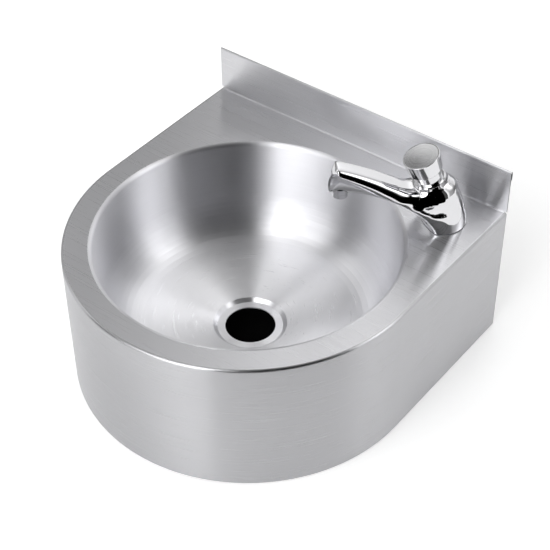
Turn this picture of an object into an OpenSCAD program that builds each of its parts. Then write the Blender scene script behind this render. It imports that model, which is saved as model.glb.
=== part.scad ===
// Stainless steel hand wash sink with a push tap.
// X runs along the wall, Y towards the wall, Z up.
// The wall is the plane y = 0 and the top of the deck is z = 0.

/* [Basin] */
// Width of the basin, which is also twice the radius of its round front
basin_w = 355; // [340:1:400]
// Distance from the back edge of the deck to the centre of the round front
flank_l = 179.7; // [175:0.1:220]
// Height of the apron below the deck
apron_h = 150; // [140:1:200]
// Height of the upstand above the deck
upstand_h = 50; // [30:1:100]
// Thickness of the stainless steel sheet
sheet_t = 1.2; // [0.9:0.1:1.5]
// Outer radius of the bend between deck and apron
edge_r = 2.5; // [2:0.1:4]
// Width of the flange folded in along the bottom of the apron
bottom_flange_w = 14; // [10:1:20]
// Length of the hem folded back along the top of the upstand
hem_l = 10; // [6:1:15]

/* [Bowl] */
// Radius of the bowl's wall just below its rim
bowl_r = 148; // [140:1:149]
// Radius of the rolled rim
rim_r = 4.5; // [3.5:0.1:6]
// Inward lean of the bowl's wall in degrees
wall_lean = 3; // [1:0.5:6]
// Depth at which the wall starts to curve into the floor
wall_depth = 58.3; // [50:0.1:60]
// Radius of the curve from wall to floor
corner_r = 46; // [40:1:50]
// Slope of the bowl's floor in degrees
floor_slope = 9; // [6:0.5:10]
// Outer radius of the waste recess
recess_r = 37; // [35:0.5:42]
// Radius of the flat ring in the waste recess
recess_flat_r = 33; // [31:0.5:34]
// Depth of the waste recess
recess_depth = 3; // [2:0.1:4]
// Diameter of the waste hole
waste_d = 50.6; // [44:0.1:52]

/* [Fixings] */
// Width of each fixing angle's wall leg
angle_leg_w = 30; // [24:1:40]
// Width of each fixing angle's side leg
angle_side_w = 22; // [16:1:26]
// Thickness of the fixing angles
angle_t = 2; // [1.5:0.5:3]
// Diameter of the wall screw holes
fixing_d = 8.5; // [6:0.5:10]
// Distance of the wall screws from the basin's side
fixing_edge = 17.5; // [14:0.5:22]
// Depth of the upper wall screws below the deck
fixing_top = 35; // [25:1:45]
// Depth of the lower wall screws below the deck
fixing_low = 120; // [100:1:130]

/* [Tap] */
// Distance of the tap hole from the middle of the basin
tap_x = 130; // [126:1:134]
// Distance of the tap hole from the back edge of the deck
tap_y = 46; // [44:1:50]
// Diameter of the tap hole in the deck
tap_hole_d = 28; // [24:1:32]
// Radius of the tap's round base
base_r = 25.4; // [24:0.1:27]
// Reach of the base in front of the tap hole's centre
base_front = 18; // [17.5:0.1:19]
// Thickness of the gasket under the tap
gasket_t = 1; // [0.8:0.1:1.5]
// Lean of the push button towards the spout in degrees
button_lean = 20; // [16:1:24]
// Distance of the collar's centre in front of the tap hole's centre
collar_x = 13.1; // [12:0.1:14]
// Height of the collar's centre above the deck
collar_z = 50.3; // [48:0.1:52]
// Radius of the collar on which the bonnet sits
collar_r = 15.8; // [15.5:0.1:17]
// Reach of the outlet in front of the tap hole's centre
outlet_x = 98.2; // [94:0.1:101]
// Height of the outlet above the deck
outlet_z = 40.4; // [38:0.1:43]
// Outer radius of the outlet nozzle
nozzle_r = 7.2; // [7:0.1:8]

/* [Button] */
// Height of the button's top above the collar
button_top = 29.5; // [27:0.1:32]
// Radius of the button at its top
button_r = 17.8; // [16:0.1:19]
// Radius of the button at its lower edge
button_low_r = 16.2; // [15:0.1:17]
// Height of the button's head
button_head = 16.8; // [14:0.1:18]
// Radius of the button's neck
neck_r = 12.5; // [12:0.1:12.5]
// Travel of the button
button_travel = 6; // [3:1:6]

/* [Hidden] */
$fn = 96;
steel = [0.72, 0.72, 0.73];
chrome = [0.85, 0.86, 0.88];
brass = [0.78, 0.63, 0.33];
rubber = [0.12, 0.12, 0.13];
plastic = [0.93, 0.93, 0.9];

// Basin values
hem_gap = 0.2;
hem_r = sheet_t + hem_gap / 2;
back_y = -(sheet_t + hem_gap);
front_r = basin_w / 2;
centre_y = back_y - flank_l;
deck_r = front_r - edge_r;
opening_r = bowl_r + rim_r;
fold_in_r = 2;
fold_out_r = fold_in_r + sheet_t;
tap_pos = [tap_x, back_y - tap_y, 0];
tap_turn = 225;
tap_plate_t = 2;
tap_plate_w = 54;
tap_plate_corner_r = 8;
angle_top_gap = 6;
angle_foot_gap = 12;
bend_steps = 8;
tag_w = 16;
tag_h = 24;
tag_reach = 26;
tag_hole_x = 18;
tag_hole_d = 6.5;
tag_y = -60;
tag_z = -100;
// Length by which a cutting shape runs past what it cuts
cut = 1;

// Bowl profile: wall, corner and floor meet without a break
wall_foot_r = bowl_r - (wall_depth - rim_r) * tan(wall_lean);
corner_cx = wall_foot_r - corner_r * cos(wall_lean);
corner_cz = -wall_depth + corner_r * sin(wall_lean);
corner_from = -wall_lean;
corner_to = -(90 - floor_slope);
corner_foot_r = corner_cx + corner_r * cos(corner_to);
corner_foot_z = corner_cz + corner_r * sin(corner_to);
recess_top_z = corner_foot_z - (corner_foot_r - recess_r) * tan(floor_slope);
recess_z = recess_top_z - recess_depth;
step_angle = atan2(recess_depth, recess_r - recess_flat_r);
rim_steps = 6;
corner_steps = 10;

// Tap values, in the tap's own frame with X along the spout
body_z = gasket_t;
fit_gap = 0.05;
shank_r = 10.4;
shank_len = 48;
shank_socket = 8;
thread_relief_w = 1.5;
thread_relief_depth = 0.8;
inlet_r = 6;
inlet_bore_top = 16;
filter_r = 8;
filter_t = 2.5;
filter_hole_r = 1.2;
filter_ring_r = 4;
clamp_out_r = 19;
clamp_in_r = 10.8;
deck_washer_t = 2;
clamp_washer_t = 1.5;
nut_r = 17.3;
nut_t = 8;
plate_foot_z = -sheet_t - tap_plate_t;
nut_foot_z = plate_foot_z - deck_washer_t - clamp_washer_t - nut_t;
water_r = 5.5;
water_from = [9.2, 0, 22.1];
water_to = [outlet_x, 0, 59];
gasket_hole_r = 11.4;
nozzle_h = 4;
nozzle_socket_r = 6.2;
nozzle_socket_h = 9;
nozzle_bore_h = 18;
straightener_r = 5;
straightener_h = 5;
straightener_inset = 1;
jet_r = 1;
jet_ring_r = 3;
outlet_washer_t = 1.5;
outlet_washer_in_r = 4.4;
boss_r = nozzle_r + 0.2;
boss_h = 6;

// Values along the button's axis, where 0 is the collar's face
collar_h = 22;
collar_flare = 3.6;
above_collar = 20;
thread_r = 13.9;
thread_depth = 12;
seal_t = 1.5;
seal_gap = 0.3;
bonnet_r = 15.2;
bonnet_h = 1.6;
bonnet_bevel = 0.8;
chamber_r = 12;
chamber_depth = 33;
well_r = 8;
well_depth = 41.5;
stop_gap = 0.2;
neck_foot = -thread_depth + button_travel + stop_gap;
hollow_r = 9.5;
roof_foot = 22;
button_round_r = 1.2;
button_rim_r = 0.5;
disc_r = 16.6;
disc_t = 1.2;
disc_inset = 0.1;
screw_head_r = 4;
screw_pocket_r = 4.2;
screw_pocket_h = 2.4;
screw_head_h = 2;
screw_r = 2;
screw_len = 14;
screw_seat_z = button_top - disc_t - screw_pocket_h;
spindle_r = 4;
spindle_tip_r = 3;
sleeve_gap = 0.1;
sleeve_top = -12.5;
stem_r = 8.8;
stem_top = -5;
sleeve_bore_r = 9.5;
sleeve_roof = -14.5;
window_z = -27.8;
window_r = 2;
oring_r = 0.88;
oring_z = -20;
oring_path_r = chamber_r - fit_gap - oring_r;
groove_w = 2;
seat_t = 3;
seat_bore_r = 5;
piston_foot = -19.5;
piston_h = 4.5;
piston_groove_z = piston_foot + 1.5;
piston_seal_r = 8.2;
valve_r = 6.5;
valve_t = 2;
spring_r = 7.2;
wire_r = 0.75;
wire_sides = 6;
spring_turns = 6;
spring_steps = 14;

// Spout and pedestal: each station is a slice of the tap body, given by its upper
// end, its lower end and its sharp side edge, all in the plane of symmetry as
// [x, z], by the half width at the side edge, and by how square its upper half is.
// The last value is 1 where the slice follows the round base and 0 on the spout.
stations = [
    [[-25.4, 0], [base_front, 0], [8.9, 0], 23.8, 2.0, 1],
    [[-24.7, 6], [base_front + 0.2, 2.5], [10, 2.6], 23.5, 2.0, 1],
    [[-22.6, 15], [19.8, 6.5], [12.9, 8.3], 23.3, 2.0, 0.9],
    [[-19.4, 26], [23, 11.5], [16.8, 14.2], 23.1, 2.1, 0.7],
    [[-15.2, 36.5], [28, 16.5], [21.3, 19], 22, 2.4, 0.45],
    [[-9, 46.5], [34, 21.5], [28.5, 24.6], 20, 2.7, 0.2],
    [[10, 47], [41, 26], [37.5, 30], 17.8, 3.1, 0],
    [[30, 42.5], [49, 30.2], [47, 35.6], 16.5, 2.8, 0],
    [[46, 49.2], [60, 34.8], [59.2, 42.2], 15.2, 2.6, 0],
    [[64, 59], [74, 40.4], [72, 49.3], 13.8, 2.7, 0],
    [[84, 68.2], [94, 45], [88, 58], 12.4, 2.8, 0],
    [[99.6, 74.2], [107.5, 47.2], [99, 63.8], 11.4, 2.8, 0],
    [[102.8, 74.2], [110.8, 48.4], [100.8, 64.4], 10.8, 2.8, 0]];
tip_bow = [3.7, 0, 1.2];
tip_shares = [0.85, 0.6, 0.3, 0.02];
between_steps = 3;
upper_steps = 12;
lower_steps = 6;
belly_power = 1.35;

// Point on a rounded power curve from 0 to 90 degrees
function power_c(a, p) = pow(abs(cos(a)), 2 / p);
function power_s(a, p) = pow(abs(sin(a)), 2 / p);
// Upper half of a slice from its top to its side edge, as [share of the way, width]
function upper_super(k, p) = [1 - power_c(k * 90, p), power_s(k * 90, p)];
// Same for the round base, whose arc ends at the sharp corner
corner_angle = acos(stations[0][2][0] / base_r);
function upper_round(k) =
    let (a = 180 - k * (180 - corner_angle))
    [(base_r * cos(a) + base_r) / (stations[0][2][0] + base_r), base_r * sin(a) / stations[0][3]];
function upper_point(st, k) =
    let (s = upper_super(k, st[4]), r = upper_round(k), f = s * (1 - st[5]) + r * st[5])
    let (mid = st[0] + (st[2] - st[0]) * f[0])
    [mid[0], st[3] * f[1], mid[1]];
// Lower half of a slice from its side edge to its lower end
function lower_point(st, k) =
    let (a = k * 90, w = power_c(a, belly_power), f = power_s(a, belly_power))
    let (mid = st[2] + (st[1] - st[2]) * f)
    [mid[0], st[3] * w, mid[1]];
function half_ring(st) = concat(
    [for (i = [0:upper_steps]) upper_point(st, i / upper_steps)],
    [for (i = [1:lower_steps]) lower_point(st, i / lower_steps)]);
function full_ring(st) =
    let (h = half_ring(st), n = len(h))
    concat(h, [for (i = [n - 2:-1:1]) [h[i][0], -h[i][1], h[i][2]]]);

// Smooth run of the stations through the given ones
function spline(a, b, c, d, t) =
    (2 * b + (c - a) * t + (2 * a - 5 * b + 4 * c - d) * t * t + (3 * b - a - 3 * c + d) * t * t * t) / 2;
last = len(stations) - 1;
fine_stations = concat(
    [for (i = [0:last - 1], k = [0:between_steps - 1])
        spline(stations[max(i - 1, 0)], stations[i], stations[i + 1], stations[min(i + 2, last)],
            k / between_steps)],
    [stations[last]]);
body_rings = [for (st = fine_stations) full_ring(st)];
tip_rings = bowed_end(body_rings[len(body_rings) - 1], tip_bow);

// Quarter bend in the plane, drawn round the origin from the angle a to b
module arc_band(r_out, r_in, a, b) {
    angles = [for (i = [0:bend_steps]) a + (b - a) * i / bend_steps];
    polygon(concat(
        [for (t = angles) r_out * [cos(t), sin(t)]],
        [for (i = [bend_steps:-1:0]) r_in * [cos(angles[i]), sin(angles[i])]]));
}

// Outline with a round front and straight sides that run back to y = end_y
module d_outline(r, end_y) {
    translate([0, centre_y]) circle(r);
    translate([-r, centre_y]) square([2 * r, end_y - centre_y]);
}

module top_deck() color(steel) {
    difference() {
        translate([0, 0, -sheet_t])
            linear_extrude(sheet_t) d_outline(deck_r, back_y - fold_out_r);
        translate([0, centre_y, -sheet_t - cut]) cylinder(r = opening_r, h = sheet_t + 2 * cut);
        translate(tap_pos + [0, 0, -sheet_t - cut]) cylinder(d = tap_hole_d, h = sheet_t + 2 * cut);
    }
    // Fold up into the upstand
    translate([-deck_r, 0, 0]) rotate([90, 0, 90]) linear_extrude(2 * deck_r)
        translate([back_y - fold_out_r, fold_in_r]) arc_band(fold_out_r, fold_in_r, 270, 360);
    translate([-front_r, back_y - sheet_t, fold_in_r])
        cube([basin_w, sheet_t, upstand_h - hem_r - fold_in_r]);
    // Hem along the top, folded back on itself
    translate([-front_r, back_y + hem_gap / 2, upstand_h - hem_r]) rotate([90, 0, 90])
        linear_extrude(basin_w) arc_band(hem_r, hem_gap / 2, 0, 180);
    translate([-front_r, -sheet_t, upstand_h - hem_l])
        cube([basin_w, sheet_t, hem_l - hem_r]);
}

// Inner face of the bowl from the rim to the waste hole, pushed out by t
function bowl_line(t) = concat(
    [for (i = [0:rim_steps]) let (a = 90 + (90 - wall_lean) * i / rim_steps)
        [opening_r + (rim_r - t) * cos(a), -rim_r + (rim_r - t) * sin(a)]],
    [for (i = [0:corner_steps]) let (a = corner_from + (corner_to - corner_from) * i / corner_steps)
        [corner_cx + (corner_r + t) * cos(a), corner_cz + (corner_r + t) * sin(a)]],
    [under([recess_r, recess_top_z], t, floor_slope, step_angle),
     under([recess_flat_r, recess_z], t, step_angle, 0),
     [waste_d / 2, recess_z - t]]);
// Point below the corner p at the depth t, where the slopes a and b meet
function under(p, t, a, b) = p + t / cos((b - a) / 2) * [sin((a + b) / 2), -cos((a + b) / 2)];

module bowl() color(steel) {
    inner = bowl_line(0);
    outer = bowl_line(sheet_t);
    translate([0, centre_y, 0]) rotate_extrude($fn = 180)
        polygon(concat(inner, [for (i = [len(outer) - 1:-1:0]) outer[i]]));
}

// Section of the apron: bend at the top, wall, bend and flange at the bottom.
// X is the distance from the outer face, towards the inside.
module apron_section() {
    translate([edge_r, -edge_r]) arc_band(edge_r, edge_r - sheet_t, 90, 180);
    translate([0, -apron_h + edge_r]) square([sheet_t, apron_h - 2 * edge_r]);
    translate([edge_r, -apron_h + edge_r]) arc_band(edge_r, edge_r - sheet_t, 180, 270);
    translate([edge_r, -apron_h]) square([bottom_flange_w - edge_r, sheet_t]);
}

module apron() color(steel) {
    translate([0, centre_y, 0]) rotate([0, 0, 180]) rotate_extrude(angle = 180, $fn = 180)
        translate([front_r, 0]) mirror([1, 0]) apron_section();
    apron_flank();
    mirror([1, 0, 0]) apron_flank();
}

module apron_flank()
    translate([-front_r, back_y, 0]) rotate([90, 0, 0]) linear_extrude(flank_l) apron_section();

// Angle that joins the apron's left side to the wall, with two screw holes
module fixing_angle() color(steel) difference() {
    leg_h = apron_h - angle_foot_gap - angle_top_gap;
    translate([-front_r + sheet_t, 0, -apron_h + angle_foot_gap]) union() {
        translate([0, -angle_t, 0]) cube([angle_leg_w, angle_t, leg_h]);
        translate([0, -angle_side_w, 0]) cube([angle_t, angle_side_w, leg_h]);
    }
    for (z = [fixing_top, fixing_low])
        translate([-front_r + fixing_edge, cut, -z])
            rotate([90, 0, 0]) cylinder(d = fixing_d, h = angle_t + 2 * cut);
}
module left_fixing_angle() fixing_angle();
module right_fixing_angle() mirror([1, 0, 0]) fixing_angle();

// Stiffening plate welded under the deck round the tap hole
module tap_hole_plate() color(steel) at_tap() difference() {
    straight = tap_plate_w - 2 * tap_plate_corner_r;
    translate([0, 0, plate_foot_z]) linear_extrude(tap_plate_t) {
        square([tap_plate_w, straight], center = true);
        square([straight, tap_plate_w], center = true);
        for (x = [-1, 1], y = [-1, 1]) translate([x, y] * straight / 2) circle(tap_plate_corner_r);
    }
    translate([0, 0, plate_foot_z - cut]) cylinder(d = tap_hole_d, h = tap_plate_t + 2 * cut);
}

// Small tab inside the apron for the earth bonding wire
module earth_tag() color(steel) translate([-front_r + sheet_t, tag_y, tag_z]) difference() {
    union() {
        cube([sheet_t, tag_w, tag_h]);
        translate([0, 0, tag_h - sheet_t]) cube([tag_reach, tag_w, sheet_t]);
    }
    translate([tag_hole_x, tag_w / 2, tag_h - 2 * sheet_t])
        cylinder(d = tag_hole_d, h = 3 * sheet_t);
}

// Places what follows in the tap's own frame
module at_tap() translate(tap_pos) rotate([0, 0, tap_turn]) children();
// Places what follows on the button's axis, with Z = 0 at the collar's face
module at_button() at_tap() translate([collar_x, 0, collar_z]) rotate([0, button_lean, 0]) children();

// Skin through rings of points, with a fan round the middle of each end
module loft(rings) {
    n = len(rings[0]);
    m = len(rings);
    points = concat([for (r = rings) each r], [ring_middle(rings[0]), ring_middle(rings[m - 1])]);
    polyhedron(points, concat(
        [for (i = [0:n - 1]) [m * n, (i + 1) % n, i]],
        [for (j = [0:m - 2], i = [0:n - 1]) [j * n + i, (j + 1) * n + (i + 1) % n, (j + 1) * n + i]],
        [for (j = [0:m - 2], i = [0:n - 1]) [j * n + i, j * n + (i + 1) % n, (j + 1) * n + (i + 1) % n]],
        [for (i = [0:n - 1]) [m * n + 1, (m - 1) * n + i, (m - 1) * n + (i + 1) % n]]));
}
function ring_middle(r) = [for (k = [0:2]) (max([for (p = r) p[k]]) + min([for (p = r) p[k]])) / 2];
// Rings that shrink towards the middle of an end, bowed out by b
function bowed_end(r, b) =
    let (c = ring_middle(r))
    [for (f = tip_shares) [for (p = r) c + (p - c) * f + b * (1 - f * f)]];

module tap_body() color(chrome) difference() {
    union() {
        at_tap() translate([0, 0, body_z]) loft(concat(body_rings, tip_rings));
        at_button() translate([0, 0, -collar_h])
            cylinder(r1 = collar_r + collar_flare, r2 = collar_r, h = collar_h);
        at_tap() translate([outlet_x, 0, outlet_z + nozzle_h]) cylinder(r = boss_r, h = boss_h);
    }
    // Seat of the bonnet, cartridge chamber and well of the valve
    at_button() cylinder_between(thread_r, -thread_depth, above_collar);
    at_button() cylinder_between(chamber_r, -chamber_depth, 0);
    at_button() cylinder_between(well_r, -well_depth, 0);
    // Socket of the inlet tail, and the waterways
    at_tap() cylinder_between(shank_r, -cut, shank_socket);
    at_tap() cylinder_between(inlet_r, 0, inlet_bore_top);
    at_tap() water_bore();
    at_tap() translate([outlet_x, 0, outlet_z]) cylinder(r = nozzle_socket_r, h = nozzle_bore_h);
}

module water_bore() {
    run = water_to - water_from;
    slope = atan2(run[2], run[0]);
    translate(water_from) rotate([0, 90 - slope, 0]) cylinder(r = water_r, h = norm(run));
}

// Ring with its lower face at the height z
module ring(z, h, r_out, r_in) {
    translate([0, 0, z]) difference() {
        cylinder(r = r_out, h = h);
        translate([0, 0, -cut]) cylinder(r = r_in, h = h + 2 * cut);
    }
}

module base_gasket() color(rubber) at_tap() difference() {
    linear_extrude(gasket_t) polygon([for (p = body_rings[0]) [p[0], p[1]]]);
    cylinder_between(gasket_hole_r, -cut, gasket_t + cut);
}

module inlet_tail() color(brass) at_tap() difference() {
    cylinder_between(shank_r, -shank_len, shank_socket);
    cylinder_between(inlet_r, -shank_len - cut, shank_socket + cut);
    cylinder_between(filter_r, -shank_len - cut, -shank_len + filter_t);
    // Relief between the back nut's thread and the one for the supply
    ring(nut_foot_z - 2 * thread_relief_w, thread_relief_w, shank_r + cut, shank_r - thread_relief_depth);
}

// Disc on the axis with a hole in the middle and six round it
module pierced_disc(z, h, r, hole_r, ring_r) difference() {
    cylinder_between(r, z, z + h);
    cylinder_between(hole_r, z - cut, z + h + cut);
    for (i = [0:5])
        rotate([0, 0, 60 * i]) translate([ring_r, 0, 0]) cylinder_between(hole_r, z - cut, z + h + cut);
}

module inlet_filter() color(steel) at_tap()
    pierced_disc(-shank_len, filter_t, filter_r, filter_hole_r, filter_ring_r);

module deck_washer() color(rubber) at_tap()
    ring(plate_foot_z - deck_washer_t, deck_washer_t, clamp_out_r, clamp_in_r);

module clamp_washer() color(steel) at_tap()
    ring(plate_foot_z - deck_washer_t - clamp_washer_t, clamp_washer_t, clamp_out_r, clamp_in_r);

module back_nut() color(brass) at_tap()
    translate([0, 0, nut_foot_z]) difference() {
        cylinder(r = nut_r, h = nut_t, $fn = 6);
        cylinder_between(shank_r, -cut, nut_t + cut);
    }

module outlet_nozzle() color(chrome) at_tap() difference() {
    translate([outlet_x, 0, outlet_z]) union() {
        cylinder(r = nozzle_r, h = nozzle_h);
        cylinder(r = nozzle_socket_r, h = nozzle_h + nozzle_socket_h);
    }
    translate([outlet_x, 0, outlet_z])
        cylinder_between(straightener_r, -cut, nozzle_h + nozzle_socket_h + cut);
}

module flow_straightener() color(plastic) at_tap() translate([outlet_x, 0, outlet_z])
    pierced_disc(straightener_inset, straightener_h, straightener_r, jet_r, jet_ring_r);

module outlet_washer() color(rubber) at_tap() translate([outlet_x, 0, 0])
    ring(outlet_z + nozzle_h + nozzle_socket_h, outlet_washer_t, nozzle_socket_r, outlet_washer_in_r);

module bonnet() color(chrome) at_button() difference() {
    union() {
        cylinder_between(thread_r, -thread_depth + seal_t, 0);
        cylinder(r1 = bonnet_r, r2 = bonnet_r - bonnet_bevel, h = bonnet_h);
    }
    cylinder_between(neck_r + fit_gap, -thread_depth, bonnet_h + cut);
}

module bonnet_seal() color(rubber) at_button() ring(-thread_depth, seal_t, thread_r, neck_r + seal_gap);

module cartridge_sleeve() color(plastic) at_button() difference() {
    union() {
        cylinder_between(chamber_r - sleeve_gap, -chamber_depth + seat_t, sleeve_top);
        cylinder_between(stem_r, sleeve_top, stem_top);
    }
    cylinder_between(sleeve_bore_r, -chamber_depth, sleeve_roof);
    cylinder_between(spindle_r + fit_gap, sleeve_roof - cut, stem_top + cut);
    ring(oring_z - groove_w / 2, groove_w, chamber_r + cut, oring_path_r - oring_r - fit_gap);
    translate([0, 0, window_z]) rotate([0, 90, 0]) cylinder(r = window_r, h = chamber_r + cut);
}

// Cylinder on the axis from the height a to the height b
module cylinder_between(r, a, b) {
    translate([0, 0, a]) cylinder(r = r, h = b - a);
}

module cartridge_oring() color(rubber) at_button() translate([0, 0, oring_z])
    rotate_extrude() translate([oring_path_r, 0]) circle(oring_r);

module valve_seat() color(brass) at_button()
    ring(-chamber_depth, seat_t, chamber_r - sleeve_gap, seat_bore_r);

// Coil spring between the sleeve's stem and the roof of the button
module return_spring() color(steel) at_button() {
    low = stem_top + wire_r + fit_gap;
    high = roof_foot - wire_r - fit_gap;
    n = spring_turns * spring_steps;
    loft([for (i = [0:n]) let (a = 360 * i / spring_steps, z = low + (high - low) * i / n)
        [for (k = [0:wire_sides - 1]) let (c = 360 * k / wire_sides, r = spring_r + wire_r * cos(c))
            [r * cos(a), r * sin(a), z + wire_r * sin(c)]]]);
}

module push_button() color(chrome) at_button() difference() {
    union() {
        rotate_extrude() button_outline();
        cylinder_between(neck_r, neck_foot, button_top - button_head + cut);
    }
    cylinder_between(hollow_r, neck_foot - cut, roof_foot);
    cylinder_between(disc_r, button_top - disc_t, button_top + cut);
    cylinder_between(screw_pocket_r, screw_seat_z, button_top);
    cylinder_between(screw_r, roof_foot - cut, button_top);
}

// Quarter of a circle round c from the angle a
function corner_arc(c, r, a) = [for (k = [0:15:90]) c + r * [cos(a + k), sin(a + k)]];
// Half outline of the button's head, with rounded edges
module button_outline() {
    foot = button_top - button_head;
    polygon(concat(
        [[0, foot]],
        corner_arc([button_low_r - button_round_r, foot + button_round_r], button_round_r, -90),
        corner_arc([button_r - button_rim_r, button_top - button_rim_r], button_rim_r, 0),
        [[0, button_top]]));
}

module button_disc() color(steel) at_button()
    cylinder_between(disc_r, button_top - disc_t, button_top - disc_inset);

module button_screw() color(steel) at_button() {
    cylinder_between(screw_head_r, screw_seat_z, screw_seat_z + screw_head_h);
    cylinder_between(screw_r, screw_seat_z - screw_len, screw_seat_z);
}

module spindle() color(brass) at_button() difference() {
    union() {
        cylinder_between(spindle_r, piston_foot, roof_foot);
        cylinder_between(spindle_tip_r, -chamber_depth - valve_t, piston_foot);
    }
    cylinder_between(screw_r, screw_seat_z - screw_len, roof_foot + cut);
}

module piston() color(plastic) at_button() difference() {
    cylinder_between(sleeve_bore_r - fit_gap, piston_foot, piston_foot + piston_h);
    cylinder_between(spindle_r, piston_foot - cut, piston_foot + piston_h + cut);
    ring(piston_groove_z, groove_w, sleeve_bore_r + cut, piston_seal_r);
}

module piston_seal() color(rubber) at_button()
    ring(piston_groove_z, groove_w, sleeve_bore_r - fit_gap, piston_seal_r);

module valve_washer() color(rubber) at_button()
    ring(-chamber_depth - valve_t, valve_t - fit_gap, valve_r, spindle_tip_r);

top_deck();
bowl();
apron();
left_fixing_angle();
right_fixing_angle();
tap_hole_plate();
earth_tag();
tap_body();
base_gasket();
inlet_tail();
inlet_filter();
deck_washer();
clamp_washer();
back_nut();
outlet_nozzle();
flow_straightener();
outlet_washer();
bonnet();
bonnet_seal();
cartridge_sleeve();
cartridge_oring();
valve_seat();
return_spring();
push_button();
button_disc();
button_screw();
spindle();
piston();
piston_seal();
valve_washer();
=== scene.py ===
"""Stainless steel hand wash sink: finishes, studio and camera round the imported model."""

import math

import bpy
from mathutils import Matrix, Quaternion, Vector
from mathutils.bvhtree import BVHTree


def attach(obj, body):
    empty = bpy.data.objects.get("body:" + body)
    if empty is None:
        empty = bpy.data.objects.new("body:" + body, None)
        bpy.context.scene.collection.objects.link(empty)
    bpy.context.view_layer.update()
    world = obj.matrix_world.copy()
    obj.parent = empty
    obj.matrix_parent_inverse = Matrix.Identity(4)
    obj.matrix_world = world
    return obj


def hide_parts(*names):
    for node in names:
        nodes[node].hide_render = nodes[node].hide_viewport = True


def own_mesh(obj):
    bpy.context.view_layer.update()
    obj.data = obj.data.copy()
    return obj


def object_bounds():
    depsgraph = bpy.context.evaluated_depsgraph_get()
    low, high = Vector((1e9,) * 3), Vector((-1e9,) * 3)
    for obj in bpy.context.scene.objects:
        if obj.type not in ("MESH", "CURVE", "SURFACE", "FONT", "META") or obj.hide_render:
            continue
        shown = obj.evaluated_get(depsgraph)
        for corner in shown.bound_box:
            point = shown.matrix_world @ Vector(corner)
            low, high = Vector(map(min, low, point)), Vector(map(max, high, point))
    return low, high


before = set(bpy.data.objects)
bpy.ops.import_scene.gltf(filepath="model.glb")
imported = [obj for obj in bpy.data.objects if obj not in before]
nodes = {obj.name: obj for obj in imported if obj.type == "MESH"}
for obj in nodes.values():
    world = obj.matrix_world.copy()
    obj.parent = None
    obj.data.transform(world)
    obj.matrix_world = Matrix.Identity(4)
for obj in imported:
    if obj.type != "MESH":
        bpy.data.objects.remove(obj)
cad_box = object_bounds()

MM = 0.001
FLOOR_Z = cad_box[0].z

# Camera, as solved from the corners of the basin in the photograph
CAMERA_PLACE = Vector((666.74, -989.86, 898.22)) * MM
CAMERA_YAW = 38.1198
CAMERA_DIP = 42.0988
CAMERA_ROLL = -0.6492
CAMERA_LENS = 94.895
CAMERA_SENSOR = 36.0


def make_camera():
    yaw, dip = math.radians(CAMERA_YAW), math.radians(CAMERA_DIP)
    ahead = Vector((-math.sin(yaw) * math.cos(dip), math.cos(yaw) * math.cos(dip), -math.sin(dip)))
    data = bpy.data.cameras.new("camera")
    data.sensor_width = CAMERA_SENSOR
    data.lens = CAMERA_LENS
    data.clip_start = 0.05
    data.clip_end = 50
    camera = bpy.data.objects.new("camera", data)
    camera.location = CAMERA_PLACE
    camera.rotation_mode = "QUATERNION"
    roll = Quaternion((0, 0, 1), math.radians(CAMERA_ROLL))
    camera.rotation_quaternion = ahead.to_track_quat("-Z", "Y") @ roll
    bpy.context.scene.collection.objects.link(camera)
    bpy.context.scene.camera = camera


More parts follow.
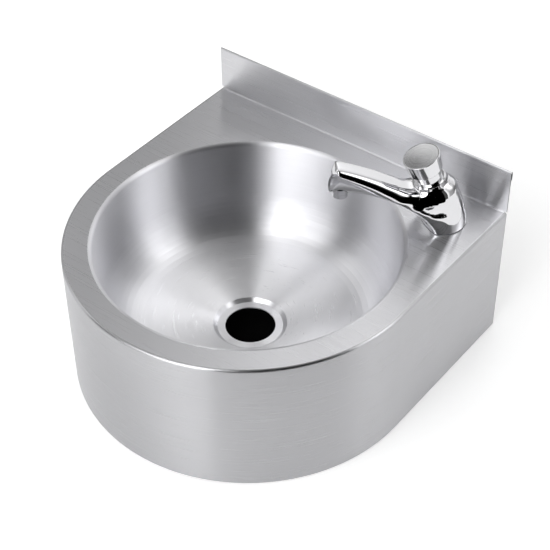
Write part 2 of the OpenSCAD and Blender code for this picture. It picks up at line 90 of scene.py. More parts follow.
class Shader:
    """Small helper that adds nodes to one material or world and links them."""

    def __init__(self, owner):
        owner.use_nodes = True
        self.tree = owner.node_tree
        self.tree.nodes.clear()

    def add(self, kind, **settings):
        node = self.tree.nodes.new("ShaderNode" + kind)
        for name, value in settings.items():
            setattr(node, name, value)
        return node

    def link(self, source, target):
        self.tree.links.new(source, target)

    def put(self, socket, value):
        """Links a socket, or sets a plain value."""
        if isinstance(value, bpy.types.NodeSocket):
            self.link(value, socket)
        else:
            socket.default_value = value

    def math(self, operation, a, b=0.0, clamp=False):
        node = self.add("Math", operation=operation, use_clamp=clamp)
        self.put(node.inputs[0], a)
        self.put(node.inputs[1], b)
        return node.outputs[0]

    def spread(self, value, low, high, to_low, to_high, smooth=True):
        """Maps a value from low-high to to_low-to_high, clamped."""
        node = self.add("MapRange", interpolation_type="SMOOTHSTEP" if smooth else "LINEAR")
        self.put(node.inputs["Value"], value)
        for name, v in zip(("From Min", "From Max", "To Min", "To Max"), (low, high, to_low, to_high)):
            self.put(node.inputs[name], v)
        return node.outputs["Result"]

    def place(self, stretch=(1, 1, 1)):
        """Object coordinates, stretched."""
        coords = self.add("TexCoord").outputs["Object"]
        node = self.add("Mapping")
        self.link(coords, node.inputs["Vector"])
        node.inputs["Scale"].default_value = stretch
        return node.outputs["Vector"]

    def noise(self, where, scale, detail=2.0, roughness=0.5):
        node = self.add("TexNoise")
        self.link(where, node.inputs["Vector"])
        node.inputs["Scale"].default_value = scale
        node.inputs["Detail"].default_value = detail
        node.inputs["Roughness"].default_value = roughness
        return node.outputs["Fac"]

    def ramp(self, value, stops):
        """Value ramp through (position, grey) stops."""
        node = self.add("ValToRGB")
        node.color_ramp.interpolation = "EASE"
        items = node.color_ramp.elements
        while len(items) < len(stops):
            items.new(0.5)
        for item, (position, grey) in zip(items, stops):
            item.position = position
            item.color = (grey, grey, grey, 1)
        self.put(node.inputs["Fac"], value)
        return node.outputs["Color"]

    def height(self):
        """Height above the deck's top, which is Z in object coordinates."""
        node = self.add("SeparateXYZ")
        self.link(self.add("TexCoord").outputs["Object"], node.inputs[0])
        return node.outputs["Z"]

    def bump(self, height, strength, distance, normal=None):
        node = self.add("Bump")
        self.put(node.inputs["Height"], height)
        node.inputs["Strength"].default_value = strength
        node.inputs["Distance"].default_value = distance
        if normal:
            self.link(normal, node.inputs["Normal"])
        return node.outputs["Normal"]

    def mix(self, factor, a, b):
        node = self.add("Mix", data_type="RGBA")
        self.put(node.inputs["Factor"], factor)
        for socket, value in ((node.inputs["A"], a), (node.inputs["B"], b)):
            self.put(socket, value)
        return node.outputs["Result"]

    def surface(self, shader, output="OutputMaterial"):
        node = self.add(output)
        self.link(shader, node.inputs["Surface"])


def new_object(name, points, faces):
    mesh = bpy.data.meshes.new(name)
    mesh.from_pydata(points, [], faces)
    made = bpy.data.objects.new(name, mesh)
    bpy.context.scene.collection.objects.link(made)
    return made


def tinted(color, share=1.0):
    """Colour times a share, with the alpha that sockets ask for."""
    return tuple(c * share for c in color) + (1,)


def new_material(name):
    material = bpy.data.materials.new(name)
    return material, Shader(material)


def principled(s, color, roughness, metallic=1.0, normal=None, **plain):
    node = s.add("BsdfPrincipled")
    s.put(node.inputs["Base Color"], color)
    s.put(node.inputs["Roughness"], roughness)
    node.inputs["Metallic"].default_value = metallic
    if normal:
        s.link(normal, node.inputs["Normal"])
    for name, value in plain.items():
        node.inputs[name.replace("_", " ").title()].default_value = value
    s.surface(node.outputs["BSDF"])
    return node


# Finishes, with lengths in metres
BOWL_AXIS = (0, -0.1811, 0)
DECK_COLOR = (0.69, 0.69, 0.71)
# Painted shade: the apron is the deck's steel, given a darker colour
APRON_PAINTED_SHADE_COLOR = (0.49, 0.49, 0.505)
# Painted light: the bowl is the deck's steel, given a lighter colour
BOWL_PAINTED_LIGHT_COLOR = (0.76, 0.76, 0.785)
# Painted light: the bowl's floor is given a lighter colour than its wall
BOWL_FLOOR_PAINTED_LIGHT_COLOR = (0.87, 0.87, 0.89)
BOWL_FLOOR_Z = (-0.104, -0.086)
STEEL_DARKEST, STEEL_LIGHTEST, STEEL_WORN = 0.95, 1.04, 1.12
CLOUD_SCALE = 9.0
GRAIN_DETAIL, GRAIN_ROUGHNESS = 3.0, 0.6
GRAIN_STRENGTH, GRAIN_DEPTH = 0.035, 0.0002
ROUGH_LESS, ROUGH_MORE, WORN_ROUGH = -0.04, 0.05, 0.08
SCRATCHES_PER_TURN, SCRATCHES_PER_METRE = 2.2, 900.0


WEAR_WIDTH = 0.0008
WEAR_PATCHES = 160.0


def edge_wear(s):
    """1 on outer and inner edges, where handling has rubbed them, and 0 on open faces."""
    soft = s.add("Bevel", samples=4)
    soft.inputs["Radius"].default_value = WEAR_WIDTH
    agree = s.add("VectorMath", operation="DOT_PRODUCT")
    s.link(soft.outputs["Normal"], agree.inputs[0])
    s.link(s.add("NewGeometry").outputs["Normal"], agree.inputs[1])
    patches = s.noise(s.place(), WEAR_PATCHES)
    edge = s.spread(agree.outputs["Value"], 0.9, 0.995, 1, 0)
    return s.math("MULTIPLY", edge, s.spread(patches, 0.3, 0.6, 0.3, 1))


def brushed_steel(name, color, stretch, tangent, rough=0.3, anisotropic=0.95):
    """Satin stainless steel. Stretch draws the grain out, and tangent says which way it smears."""
    material, s = new_material(name)
    grain = s.noise(s.place(stretch), 1.0, GRAIN_DETAIL, GRAIN_ROUGHNESS)
    return steel_shader(material, s, grain, color, rough, tangent, anisotropic)


def bowl_steel(name, rough=0.4, floor_rough=0.3):
    """Turned satin steel of the bowl, whose floor is smoother and is given a lighter colour as painted light.
    """
    material, s = new_material(name)
    wall = s.spread(s.height(), *BOWL_FLOOR_Z, 0, 1)
    coarse = s.spread(wall, 0, 1, floor_rough, rough, smooth=False)
    return steel_shader(material, s, round_scratches(s), BOWL_PAINTED_LIGHT_COLOR, coarse, round_grain, 1.0, wall)


def steel_shader(material, s, grain, color, rough, tangent, anisotropic, wall=None):
    clouds = s.noise(s.place(), CLOUD_SCALE)
    tone = s.spread(s.math("ADD", s.math("MULTIPLY", grain, 0.5), s.math("MULTIPLY", clouds, 0.5)),
                    0.3, 0.7, 0.0, 1.0, smooth=False)
    shade = s.mix(tone, tinted(color, STEEL_DARKEST), tinted(color, STEEL_LIGHTEST))
    if wall:
        # Painted light: the floor of the bowl takes the lighter floor colour
        shade = s.mix(wall, tinted(BOWL_FLOOR_PAINTED_LIGHT_COLOR), shade)
    wear = edge_wear(s)
    shade = s.mix(wear, shade, tinted(color, STEEL_WORN))
    roughness = s.math("ADD", rough, s.spread(grain, 0.3, 0.7, ROUGH_LESS, ROUGH_MORE, smooth=False))
    roughness = s.math("SUBTRACT", roughness, s.math("MULTIPLY", wear, WORN_ROUGH))
    normal = s.bump(grain, GRAIN_STRENGTH, GRAIN_DEPTH)
    node = principled(s, shade, roughness, normal=normal, anisotropic=anisotropic)
    tangent(s, node)
    return material


def round_grain(s, node):
    """Grain that runs round the vertical axis."""
    tangent = s.add("Tangent", direction_type="RADIAL", axis="Z")
    s.link(tangent.outputs["Tangent"], node.inputs["Tangent"])
    node.inputs["Anisotropic Rotation"].default_value = 0.25


def round_scratches(s):
    """Fine concentric scratches round the bowl's axis."""
    shifted = s.add("VectorMath", operation="SUBTRACT")
    s.link(s.add("TexCoord").outputs["Object"], shifted.inputs[0])
    shifted.inputs[1].default_value = BOWL_AXIS
    flat = s.add("VectorMath", operation="MULTIPLY")
    s.link(shifted.outputs["Vector"], flat.inputs[0])
    flat.inputs[1].default_value = (1, 1, 0)
    radius = s.add("VectorMath", operation="LENGTH")
    s.link(flat.outputs["Vector"], radius.inputs[0])
    turn = s.add("VectorMath", operation="NORMALIZE")
    s.link(flat.outputs["Vector"], turn.inputs[0])
    along = s.math("SUBTRACT", radius.outputs["Value"], s.height())
    noise = s.add("TexNoise", noise_dimensions="4D")
    stretched = s.add("VectorMath", operation="SCALE")
    s.link(turn.outputs["Vector"], stretched.inputs[0])
    stretched.inputs["Scale"].default_value = SCRATCHES_PER_TURN
    s.link(stretched.outputs["Vector"], noise.inputs["Vector"])
    s.link(s.math("MULTIPLY", along, SCRATCHES_PER_METRE), noise.inputs["W"])
    noise.inputs["Scale"].default_value = 1.0
    noise.inputs["Detail"].default_value = 3.0
    noise.inputs["Roughness"].default_value = 0.65
    return noise.outputs["Fac"]


def wall_grain(s, node):
    """Grain that runs along the wall, on level and upright faces alike."""
    normal = s.add("NewGeometry").outputs["Normal"]
    cross = s.add("VectorMath", operation="CROSS_PRODUCT")
    s.link(normal, cross.inputs[0])
    cross.inputs[1].default_value = (1, 0, 0)
    s.link(cross.outputs["Vector"], node.inputs["Tangent"])


CHROME_DARK, CHROME_LIGHT, CHROME_WORN = (0.66, 0.66, 0.675), (0.72, 0.72, 0.735), (0.76, 0.76, 0.77)
CHROME_FLOW, CHROME_FINE = 40.0, 900.0


def polished_chrome(name, rough=0.03):
    material, s = new_material(name)
    flow = s.noise(s.place(), CHROME_FLOW)
    fine = s.noise(s.place(), CHROME_FINE)
    roughness = s.spread(fine, 0.35, 0.7, rough, rough + 0.03, smooth=False)
    color = s.mix(flow, tinted(CHROME_DARK), tinted(CHROME_LIGHT))
    wear = edge_wear(s)
    color = s.mix(s.math("MULTIPLY", wear, 0.5), color, tinted(CHROME_WORN))
    roughness = s.math("ADD", roughness, s.math("MULTIPLY", wear, 0.05))
    principled(s, color, roughness, normal=s.bump(flow, 0.02, 0.0005))
    return material


def plain_solid(name, color, rough, metallic=0.0, bump=0.1, scale=300.0):
    """Moulded, turned or rubbery surface with a fine uneven skin."""
    material, s = new_material(name)
    skin = s.noise(s.place(), scale, 3.0)
    base = s.mix(skin, tinted(color, 0.85), tinted(color))
    roughness = s.spread(skin, 0.3, 0.7, rough - 0.05, rough + 0.08, smooth=False)
    principled(s, base, roughness, metallic=metallic, normal=s.bump(skin, bump, 0.0003))
    return material


BUTTON_MIDDLE = (0.1136, -0.0638, 0.078)
DISH = 2.5
TURNED_DARK, TURNED_LIGHT = (0.74, 0.74, 0.75), (0.84, 0.84, 0.85)
TURNED_SCALE = 6000.0


def satin_disc(name):
    """Button's inlay: turned satin with a very slight dish."""
    material, s = new_material(name)
    apart = s.add("VectorMath", operation="DISTANCE")
    s.link(s.add("TexCoord").outputs["Object"], apart.inputs[0])
    apart.inputs[1].default_value = BUTTON_MIDDLE
    radius = apart.outputs["Value"]
    rings = s.add("TexNoise", noise_dimensions="1D")
    s.link(radius, rings.inputs["W"])
    rings.inputs["Scale"].default_value = TURNED_SCALE
    rings.inputs["Detail"].default_value = 2.0
    tone = s.mix(rings.outputs["Fac"], tinted(TURNED_DARK), tinted(TURNED_LIGHT))
    roughness = s.spread(rings.outputs["Fac"], 0.3, 0.7, 0.2, 0.28, smooth=False)
    dish = s.bump(s.math("MULTIPLY", s.math("MULTIPLY", radius, radius), DISH), 1.0, 1.0)
    normal = s.bump(rings.outputs["Fac"], 0.02, 0.0001, dish)
    principled(s, tone, roughness, normal=normal, anisotropic=0.5)
    return material


def finish(name, material):
    mesh = nodes[name].data
    mesh.materials.clear()
    mesh.materials.append(material)


# Studio: a tent of soft light that metal and diffuse surfaces see and the camera doesn't.
# Brightness by direction in degrees from +X, in tenths of white: near the horizon, half-way up, high up.
LOW_LIGHT = [(0, 14), (12, 5), (50, 2), (62, 10), (78, 11), (108, 11), (130, 2), (185, 3), (200, 9),
             (212, 9), (220, 1), (252, 2), (262, 14), (272, 24), (288, 18), (296, 1), (345, 1)]
MID_LIGHT = [(0, 12), (10, 15), (18, 38), (32, 38), (42, 16), (55, 10), (70, 6), (85, 11), (112, 15),
             (130, 12), (140, 2), (148, 1), (158, 9), (185, 8), (200, 16), (212, 14), (220, 1),
             (230, 5), (239, 30), (246, 38), (252, 34), (264, 42), (280, 52), (291, 36), (297, 0), (345, 0)]
HIGH_LIGHT = [(0, 0), (45, 1), (60, 9), (105, 13), (128, 8), (150, 10), (172, 1), (240, 1), (270, 14),
              (291, 2), (300, 0)]
MID_FROM, MID_TO = 12, 36
HIGH_FROM, HIGH_TO = 42, 66
ZENITH_LIGHT = 2
ZENITH_FROM, ZENITH_TO = 70, 88
BRIGHTEST = 52
TENT_RADIUS = 2.6
TENT_SIDES, TENT_ROWS = 96, 24


def angle_ramp(s, turn, stops):
    return s.ramp(turn, [(a / 360, d / BRIGHTEST) for a, d in stops])


def make_tent():
    """Dome whose glow changes with direction, like white, grey and black sheets round a product."""
    points = []
    for j in range(TENT_ROWS):
        e = math.pi / 2 * j / TENT_ROWS
        for i in range(TENT_SIDES):
            a = 2 * math.pi * i / TENT_SIDES
            spot = Vector((math.cos(e) * math.cos(a), math.cos(e) * math.sin(a), math.sin(e)))
            points.append(spot * TENT_RADIUS + Vector((0, 0, FLOOR_Z)))
    rings = [points[i:i + TENT_SIDES] for i in range(0, len(points), TENT_SIDES)]
    faces = skin(rings) + [tuple((TENT_ROWS - 1) * TENT_SIDES + i for i in range(TENT_SIDES))]
    tent = new_object("tent", points, faces)
    tent.visible_camera = False
    tent.visible_shadow = False
    material, s = new_material("tent")
    where = s.add("SeparateXYZ")
    s.link(s.add("TexCoord").outputs["Object"], where.inputs[0])
    x, y, z = where.outputs
    turn = s.math("FRACT", s.math("DIVIDE", s.math("ARCTAN2", y, x), 2 * math.pi))
    level = s.math("SQRT", s.math("ADD", s.math("MULTIPLY", x, x), s.math("MULTIPLY", y, y)))
    rise = s.math("MULTIPLY", s.math("ARCTAN2", z, level), 180 / math.pi)
    sides = s.mix(s.spread(rise, MID_FROM, MID_TO, 0, 1), angle_ramp(s, turn, LOW_LIGHT),
                  angle_ramp(s, turn, MID_LIGHT))
    sides = s.mix(s.spread(rise, HIGH_FROM, HIGH_TO, 0, 1), sides, angle_ramp(s, turn, HIGH_LIGHT))
    zenith = (ZENITH_LIGHT / BRIGHTEST,) * 3 + (1,)
    glow = s.mix(s.spread(rise, ZENITH_FROM, ZENITH_TO, 0, 1), sides, zenith)
    light = s.add("Emission")
    s.link(glow, light.inputs["Color"])
    light.inputs["Strength"].default_value = BRIGHTEST / 10
    s.surface(light.outputs[0])
    tent.data.materials.append(material)


CARD_CENTRE_Y = -0.18


def around(angle, height, distance):
    """Place in metres at an angle in degrees from +X round the bowl's middle."""
    a = math.radians(angle)
    return Vector((distance * math.cos(a), CARD_CENTRE_Y + distance * math.sin(a), height))


def make_card(name, angle, distance, width, low, high):
    """Black card that only the metal sees."""
    aside = Vector((-math.sin(math.radians(angle)), math.cos(math.radians(angle)), 0)) * width / 2
    foot = around(angle, low, distance)
    top = around(angle, high, distance)
    card = new_object(name, [foot - aside, foot + aside, top + aside, top - aside], [(0, 1, 2, 3)])
    card.visible_camera = False
    card.visible_diffuse = False
    card.visible_shadow = False
    material, s = new_material(name)
    black = s.add("Emission")
    black.inputs["Strength"].default_value = 0
    s.surface(black.outputs[0])
    card.data.materials.append(material)


FLOOR_LIFT = 0.25
FLOOR_REACH = 6.0
FLOOR_DARKER, FLOOR_LIGHTER = (0.93, 0.93, 0.93), (0.95, 0.95, 0.95)
SHADE_MIDDLE = (0, -0.1811)
SHADE_RADIUS = 0.1
SHADE_SIDES = 64
SHADE_GAP = 0.0005


def seen_directly(s):
    """1 for the camera's own rays and for what mirrors or glass show it."""
    path = s.add("LightPath")
    seen = s.math("ADD", path.outputs["Is Camera Ray"], path.outputs["Is Glossy Ray"], clamp=True)
    return s.math("ADD", seen, path.outputs["Is Transmission Ray"], clamp=True)


def make_shade():
    """Painted shade: near-black disc on the floor under the waste hole, so that the hole looks into the dark.
    """
    turns = [2 * math.pi * i / SHADE_SIDES for i in range(SHADE_SIDES)]
    middle = Vector((*SHADE_MIDDLE, FLOOR_Z + SHADE_GAP))
    points = [middle + Vector((math.cos(a), math.sin(a), 0)) * SHADE_RADIUS for a in turns]
    shade = new_object("shade", points, [tuple(range(SHADE_SIDES))])
    material, s = new_material("shade")
    # Near-black diffuse colour, painted shade for the dark under the basin
    painted_shade_surface = s.add("BsdfDiffuse")
    painted_shade_surface.inputs["Color"].default_value = (0.004, 0.004, 0.004, 1)
    s.surface(painted_shade_surface.outputs[0])
    shade.data.materials.append(material)


def make_floor():
    r = FLOOR_REACH
    corners = [(-r, -r, FLOOR_Z), (r, -r, FLOOR_Z), (r, r, FLOOR_Z), (-r, r, FLOOR_Z)]
    floor = new_object("floor", corners, [(0, 1, 2, 3)])
    material, s = new_material("floor")
    mottle = s.noise(s.place(), 3.0)
    color = s.mix(mottle, tinted(FLOOR_DARKER), tinted(FLOOR_LIGHTER))
    paper = s.add("BsdfDiffuse")
    s.link(color, paper.inputs["Color"])
    lift = s.add("Emission")
    s.link(s.math("MULTIPLY", seen_directly(s), FLOOR_LIFT), lift.inputs["Strength"])
    both = s.add("AddShader")
    s.link(paper.outputs[0], both.inputs[0])
    s.link(lift.outputs[0], both.inputs[1])
    s.surface(both.outputs[0])
    floor.data.materials.append(material)


WORLD_LIGHT, WORLD_SEEN = 0.85, 1.0


def make_world():
    world = bpy.data.worlds.new("studio")
    bpy.context.scene.world = world
    s = Shader(world)
    background = s.add("Background")
    strength = s.spread(seen_directly(s), 0, 1, WORLD_LIGHT, WORLD_SEEN, smooth=False)
    s.link(strength, background.inputs["Strength"])
    s.surface(background.outputs[0], "OutputWorld")
    background.inputs["Color"].default_value = (1, 1, 1, 1)


# Tap body, in millimetres in the tap's own frame, with X along the spout and Z = 0 on its gasket.
# Each station is a slice: upper end, lower end and side edge as x and z, half width,
# squareness of the upper half, and 1 where the slice follows the round base.
TAP_PLACE = Vector((130, -47.4, 1))
TAP_TURN = 225
BASE_RADIUS = 25.4
STATIONS = [
    (-25.4, 0, 18, 0, 8.9, 0, 23.8, 2.0, 1),
    (-24.7, 6, 18.2, 2.5, 10, 2.6, 23.5, 2.0, 1),
    (-22.6, 15, 19.8, 6.5, 12.9, 8.3, 23.3, 2.0, 0.9),
    (-19.4, 26, 23, 11.5, 16.8, 14.2, 23.1, 2.1, 0.7),
    (-15.2, 36.5, 28, 16.5, 21.3, 19, 22, 2.4, 0.45),
    (-9, 46.5, 34, 21.5, 28.5, 24.6, 20, 2.7, 0.2),
    (10, 47, 41, 26, 37.5, 30, 17.8, 3.1, 0),
    (30, 42.5, 49, 30.2, 47, 35.6, 16.5, 2.8, 0),
    (46, 49.4, 60, 34.4, 59.2, 42.2, 15.2, 3.2, 0),
    (64, 59, 74, 38.6, 72, 49.3, 13.8, 3.3, 0),
    (84, 68.2, 92.6, 41.4, 88, 58, 12.4, 3.4, 0),
    (99.6, 74.2, 106, 42.8, 99, 63.8, 11.4, 3.4, 0),
    (102.8, 74.2, 109.2, 43.8, 100.8, 64.4, 10.8, 3.4, 0),
]
STATION_STEPS = 12
UPPER_STEPS = 40
LOWER_STEPS = 20
EASE_STEPS = 5
RIDGE_EASE = 0.7
TIP_EASE = 0.9
BELLY_POWER = 1.35
TIP_BOW = Vector((3.7, 0, 1.2))
TIP_STEPS = 14
COLLAR_PLACE = Vector((13.1, 0, 49.3))
COLLAR_LEAN = 20
COLLAR_RADIUS, COLLAR_FLARE, COLLAR_HEIGHT = 15.8, 3.6, 16
CHAMBER_RADIUS = 13.9
BLEND_WIDTH, BLEND_GROWTH = 7.0, 1.2
BLEND_START = 0.4
BLEND_FROM = (4, -12)
BLEND_TURNS, BLEND_ROWS = 120, 22
BLEND_REACH, BLEND_HALVINGS = 45, 16
BLEND_TILT_STEP, BLEND_TILT_END = 0.04, -1.4
SLOPE_STEP = 0.05
FOOT_DEPTH, FOOT_DRAW = 16, 0.2
OUTLET_X, OUTLET_Z = 98.2, 39.4
NOZZLE_HEIGHT, BOSS_RADIUS, BOSS_HEIGHT = 4, 7.4, 6


def between(a, b, c, d, t):
    """Smooth value between b and c, where a and d are their neighbours."""
    return (2 * b + (c - a) * t + (2 * a - 5 * b + 4 * c - d) * t ** 2 + (3 * b - a - 3 * c + d) * t ** 3) / 2


def fine_stations():
    last = len(STATIONS) - 1
    fine = []
    for i in range(last):
        near = [STATIONS[j] for j in (max(i - 1, 0), i, i + 1, min(i + 2, last))]
        fine += [[between(*v, k / STATION_STEPS) for v in zip(*near)] for k in range(STATION_STEPS)]
    return fine + [STATIONS[last]]


def upper_point(station, k):
    top_x, top_z, _, _, side_x, side_z, width, power, base = station
    a = math.radians(90 * k)
    along = 1 - math.cos(a) ** (2 / power)
    across = math.sin(a) ** (2 / power)
    corner = STATIONS[0][4]
    turn = math.pi - k * (math.pi - math.acos(corner / BASE_RADIUS))
    along += (BASE_RADIUS * (math.cos(turn) + 1) / (corner + BASE_RADIUS) - along) * base
    across += (BASE_RADIUS * math.sin(turn) / STATIONS[0][6] - across) * base
    return Vector((top_x + (side_x - top_x) * along, width * across, top_z + (side_z - top_z) * along))


def lower_point(station, k):
    _, _, low_x, low_z, side_x, side_z, width, _, _ = station
    a = math.radians(90 * (1 - k))
    across = math.sin(a) ** (2 / BELLY_POWER)
    down = math.cos(a) ** (2 / BELLY_POWER)
    return Vector((side_x + (low_x - side_x) * down, width * across, side_z + (low_z - side_z) * down))


def share_at(curve, edge, distance, low, high):
    """Share of the curve at which it is the given distance from the edge, near its high end."""
    for _ in range(30):
        middle = (low + high) / 2
        if (curve(middle) - edge).length > distance:
            low = middle
        else:
            high = middle
    return low


def eased(a, edge, b, steps):
    """Points of a small round from a to b, drawn towards the edge between them."""
    shares = [i / steps for i in range(steps + 1)]
    return [a * (1 - t) ** 2 + edge * (2 * t * (1 - t)) + b * t ** 2 for t in shares]


def half_ring(station):
    """Slice from its top down one side to its lowest point, with the sharp side edge eased."""
    edge = upper_point(station, 1)
    stop = share_at(lambda k: upper_point(station, k), edge, RIDGE_EASE, 0, 1)
    start = share_at(lambda k: lower_point(station, 1 - k), edge, RIDGE_EASE, 0, 1)
    upper = [upper_point(station, stop * i / UPPER_STEPS) for i in range(UPPER_STEPS + 1)]
    lower = [lower_point(station, 1 - start * i / LOWER_STEPS) for i in range(LOWER_STEPS, -1, -1)]
    return upper[:-1] + eased(upper[-1], edge, lower[0], EASE_STEPS) + lower[1:]


def full_ring(station):
    half = half_ring(station)
    return half + [Vector((p.x, -p.y, p.z)) for p in half[-2:0:-1]]


def tip_rings(wall, end):
    """Eases the end of the spout's wall into a face that bows out towards its middle."""
    middle = Vector([(max(p[k] for p in end) + min(p[k] for p in end)) / 2 for k in range(3)])

    def on_face(p, f):
        return middle + (p - middle) * f + TIP_BOW * (1 - f * f)

    inner = [on_face(p, 1 - TIP_EASE / (p - middle).length) for p in end]
    back = [p + (q - p).normalized() * TIP_EASE for p, q in zip(end, wall)]
    rings = list(zip(*[eased(a, p, b, EASE_STEPS) for a, p, b in zip(back, end, inner)]))
    for i in range(1, TIP_STEPS):
        f = math.cos(math.radians(90 * i / TIP_STEPS))
        rings.append([on_face(p, f * (1 - TIP_EASE / (p - middle).length)) for p in end])
    return [list(r) for r in rings], middle + TIP_BOW


def in_tap(p):
    """Row frame, in metres, of a point in the tap's own frame."""
    turn = Quaternion((0, 0, 1), math.radians(TAP_TURN))
    return (turn @ Vector(p) + TAP_PLACE) * MM


def on_collar(p):
    """Tap's frame of a point on the button's axis, where Z = 0 is the collar's face."""
    return Quaternion((0, 1, 0), math.radians(COLLAR_LEAN)) @ Vector(p) + COLLAR_PLACE


def skin(rings, closed=True):
    """Faces between rings of points that are listed one after another."""
    n = len(rings[0])
    return [(j * n + i, j * n + (i + 1) % n, (j + 1) * n + (i + 1) % n, (j + 1) * n + i)
            for j in range(len(rings) - 1) for i in range(n if closed else n - 1)]


def flipped(faces):
    return [f[::-1] for f in faces]


def piece(name, points, faces, material, stands_for, sharp=30):
    """Smooth piece of the fixed body, whose edges above the sharp angle stay crisp."""
    made = new_object(name, [in_tap(p) for p in points], faces)
    mesh = made.data
    mesh.validate()
    mesh.shade_smooth()
    mesh.set_sharp_from_angle(angle=math.radians(sharp))
    mesh.materials.append(material)
    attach(made, "basin")
    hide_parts(stands_for)
    return made


def make_casting(material):
    """Pedestal and spout in one sweep, open where the button's collar stands."""
    rings = [full_ring(s) for s in fine_stations()]
    ends, apex = tip_rings(rings[-2], rings[-1])
    rings = rings[:-1] + ends
    n = len(rings[0])
    points = [p for r in rings for p in r] + [apex, Vector((-4, 0, 0))]
    last = (len(rings) - 1) * n
    faces = flipped(skin(rings))
    faces += [(last + (i + 1) % n, last + i, len(points) - 2) for i in range(n)]
    faces += [(i, (i + 1) % n, len(points) - 1) for i in range(n)]
    whole = BVHTree.FromPolygons(points, faces)
    hidden = {i for i, p in enumerate(points) if near_collar(p) > 0.2}
    open_faces = [f for f in faces if not any(i in hidden for i in f)]
    piece("tap_casting", points, open_faces, material, "tap_body")
    return whole


def from_collar(p):
    """Radius and height of a point of the tap's frame about the button's axis."""
    local = Quaternion((0, 1, 0), math.radians(-COLLAR_LEAN)) @ (p - COLLAR_PLACE)
    return math.hypot(local.x, local.y), local.z


def beyond_collar(radius, height):
    """Distance outside the collar's cone, which draws back into the body at its foot."""
    depth = max(-height, 0)
    flare = COLLAR_FLARE * min(depth / COLLAR_HEIGHT, 1)
    return radius - COLLAR_RADIUS - flare + FOOT_DRAW * max(depth - FOOT_DEPTH, 0)


def blend_width(height):
    return min(BLEND_WIDTH, max(-height * BLEND_GROWTH, 0.01))


def near_collar(p):
    """1 where the casting meets the collar's cone, falling to 0 where its blend ends."""
    radius, height = from_collar(p)
    return 1 - beyond_collar(radius, height) / blend_width(height) if height < 0 else 0


def blended(p, casting):
    """Signed distance to casting and collar together, with a rounded valley between them."""
    spot, normal, _, distance = casting.find_nearest(p)
    if normal.dot(p - spot) < 0:
        distance = -distance
    radius, height = from_collar(p)
    cone, width = beyond_collar(radius, height), blend_width(height)
    share = max(width - abs(distance - cone), 0) / width
    return min(distance, cone) - share * share * width / 4, distance - cone - width


def blend_point(casting, turn, tilt):
    """Point where a ray from inside the collar leaves the blended surface, and if the blend is over."""
    def at(s):
        r, z = BLEND_FROM[0] + s * math.cos(tilt), BLEND_FROM[1] + s * math.sin(tilt)
        return on_collar((r * math.cos(turn), r * math.sin(turn), z))

    low, high = 0, BLEND_REACH
    for _ in range(BLEND_HALVINGS):
        middle = (low + high) / 2
        if blended(at(middle), casting)[0] < 0:
            low = middle
        else:
            high = middle
    p = at(low)
    radius, height = from_collar(p)
    return p, beyond_collar(radius, height) > blend_width(height)


def make_blend(material, casting):
    """Cast fillet between the collar and the body."""
    top = math.atan2(-BLEND_START - BLEND_FROM[1], COLLAR_RADIUS - BLEND_FROM[0])
    columns = []
    for i in range(BLEND_TURNS):
        turn = 2 * math.pi * i / BLEND_TURNS
        tilt = top
        while not blend_point(casting, turn, tilt)[1] and tilt > BLEND_TILT_END:
            tilt -= BLEND_TILT_STEP
        tilts = [top + (tilt - top) * j / BLEND_ROWS for j in range(BLEND_ROWS + 1)]
        columns.append([blend_point(casting, turn, a)[0] for a in tilts])
    rings = list(zip(*columns))
    points = [p for r in rings for p in r]
    steps = [Vector([SLOPE_STEP * (k == j) for j in range(3)]) for k in range(3)]
    normals = []
    for p in points:
        here = blended(p, casting)[0]
        slope = Vector([blended(p + step, casting)[0] - here for step in steps])
        normals.append(Quaternion((0, 0, 1), math.radians(TAP_TURN)) @ slope.normalized())
    made = piece("tap_fillet", points, flipped(skin(rings)), material, "tap_body")
    made.data.normals_split_custom_set_from_vertices(normals)


def lathe(profile, place, steps=96):
    """Rings of a turned form, from radius and height pairs."""
    rings = []
    for r, z in profile:
        turns = [2 * math.pi * i / steps for i in range(steps)]
        rings.append([place(Vector((r * math.cos(a), r * math.sin(a), z))) for a in turns])
    return rings


def make_collar(material):
    profile = [(COLLAR_RADIUS + 0.05, -0.9), (COLLAR_RADIUS + 0.03, -0.4), (COLLAR_RADIUS - 0.1, -0.12),
               (COLLAR_RADIUS - 0.4, 0), (CHAMBER_RADIUS, 0), (CHAMBER_RADIUS, -12)]
    rings = lathe(profile, on_collar)
    piece("tap_collar", [p for r in rings for p in r], skin(rings), material, "tap_body")


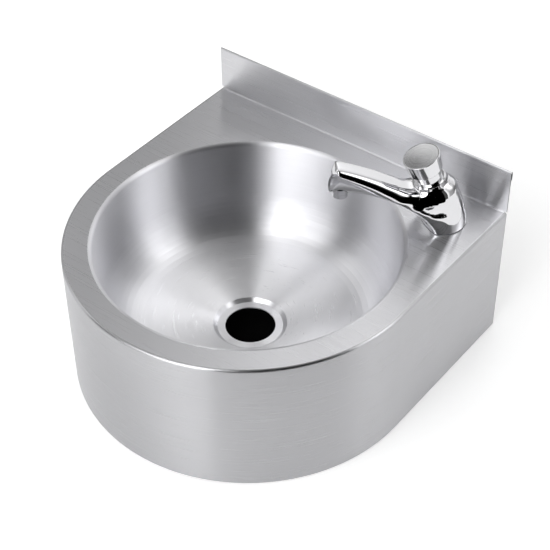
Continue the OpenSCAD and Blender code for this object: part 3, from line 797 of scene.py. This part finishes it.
def make_boss(material):
    low = OUTLET_Z + NOZZLE_HEIGHT
    inner = BOSS_RADIUS - 0.7
    profile = [(BOSS_RADIUS, low + BOSS_HEIGHT), (BOSS_RADIUS, low + 0.3), (BOSS_RADIUS - 0.3, low),
               (inner, low), (inner, low + BOSS_HEIGHT)]
    rings = lathe(profile, lambda p: p + Vector((OUTLET_X, 0, 0)))
    piece("tap_outlet_boss", [p for r in rings for p in r], flipped(skin(rings)), material, "tap_body")


def shorten_spring():
    """Gives the return spring a mesh of its own."""
    spring = nodes["return_spring"]
    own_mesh(spring)


make_camera()
make_floor()
make_shade()
make_tent()
make_world()
make_card("front_card", 325, 0.6, 0.85, FLOOR_Z, 0.5)

steel_round = bowl_steel("bowl_steel")
steel_level = brushed_steel("apron_steel", APRON_PAINTED_SHADE_COLOR, (12, 12, 1400), round_grain)
steel_wall = brushed_steel("deck_steel", DECK_COLOR, (5, 1500, 1500), wall_grain)
chrome = polished_chrome("chrome_plate")
satin = satin_disc("satin_chrome")
rubber = plain_solid("grey_rubber", (0.12, 0.12, 0.13), 0.6)
black_rubber = plain_solid("black_rubber", (0.03, 0.03, 0.03), 0.55)
brass = plain_solid("turned_brass", (0.78, 0.57, 0.27), 0.3, metallic=1.0)
bare = plain_solid("bare_steel", (0.55, 0.55, 0.56), 0.35, metallic=1.0)
plastic = plain_solid("white_plastic", (0.85, 0.85, 0.82), 0.45)

finish("bowl", steel_round)
finish("apron", steel_level)
finish("top_deck", steel_wall)
for name in ("left_fixing_angle", "right_fixing_angle", "tap_hole_plate", "earth_tag", "clamp_washer",
             "inlet_filter", "return_spring", "button_screw"):
    finish(name, bare)
for name in ("tap_body", "bonnet", "push_button", "outlet_nozzle"):
    finish(name, chrome)
finish("button_disc", satin)
for name in ("base_gasket", "deck_washer"):
    finish(name, rubber)
for name in ("outlet_washer", "bonnet_seal", "cartridge_oring", "piston_seal", "valve_washer"):
    finish(name, black_rubber)
for name in ("inlet_tail", "back_nut", "valve_seat", "spindle"):
    finish(name, brass)
for name in ("flow_straightener", "cartridge_sleeve", "piston"):
    finish(name, plastic)

make_blend(chrome, make_casting(chrome))
make_collar(chrome)
make_boss(chrome)
shorten_spring()

bpy.context.scene.view_settings.view_transform = "Standard"
